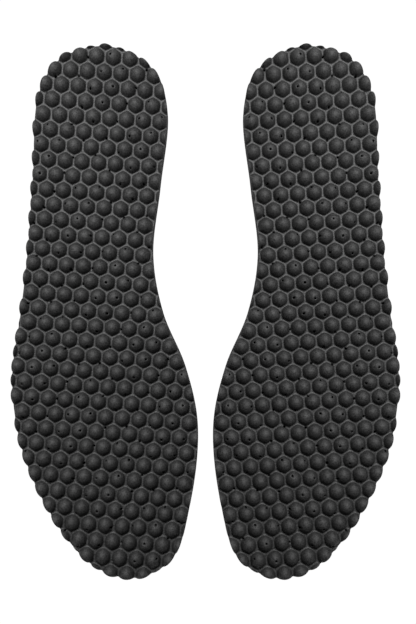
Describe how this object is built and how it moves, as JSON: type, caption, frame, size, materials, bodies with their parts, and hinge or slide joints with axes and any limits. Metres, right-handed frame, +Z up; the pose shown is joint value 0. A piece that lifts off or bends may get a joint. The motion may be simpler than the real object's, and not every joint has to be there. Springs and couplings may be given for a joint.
{
  "type": "cushioned insole pair",
  "caption": "Pair of flat foam shoe insoles with packed hexagonal domes on the foot side, pin-hole perforations and a textile lining, each flexing across the ball of the foot.",
  "frame": {"origin": "Centre of the pair's footprint, on the surface that the linings rest on.", "axes": "+Z up out of the domed faces, +Y from toes to heels, +X across the pair from the right foot's insole to the left foot's."},
  "size_m": [0.1948, 0.2681, 0.008],
  "materials": {
    "foam": "matte black moulded foam with a fine-celled skin",
    "lining": "matte black knitted textile"
  },
  "bodies": {
    "right_rear": {"right_cushion_rear": "foam", "right_lining_rear": "lining"},
    "right_front": {"right_cushion_front": "foam", "right_lining_front": "lining"},
    "left_rear": {"left_cushion_rear": "foam", "left_lining_rear": "lining"},
    "left_front": {"left_cushion_front": "foam", "left_lining_front": "lining"}
  },
  "joints": [
    {"name": "right_toe_flex", "type": "hinge", "parent": "right_rear", "child": "right_front", "pos_m": [-0.004, -0.059, 0.001], "axis": [-0.9683, 0.2499, 0], "range_deg": [0, 50], "stiffness_Nm_per_rad": 0.06},
    {"name": "left_toe_flex", "type": "hinge", "parent": "left_rear", "child": "left_front", "pos_m": [0.004, -0.059, 0.001], "axis": [-0.9683, -0.2499, 0], "range_deg": [0, 50], "stiffness_Nm_per_rad": 0.06},
    {"name": "left_insole_lift", "type": "slide", "parent": "right_rear", "child": "left_rear", "axis": [0, 0, 1], "range_m": [0, 0.08]}
  ]
}
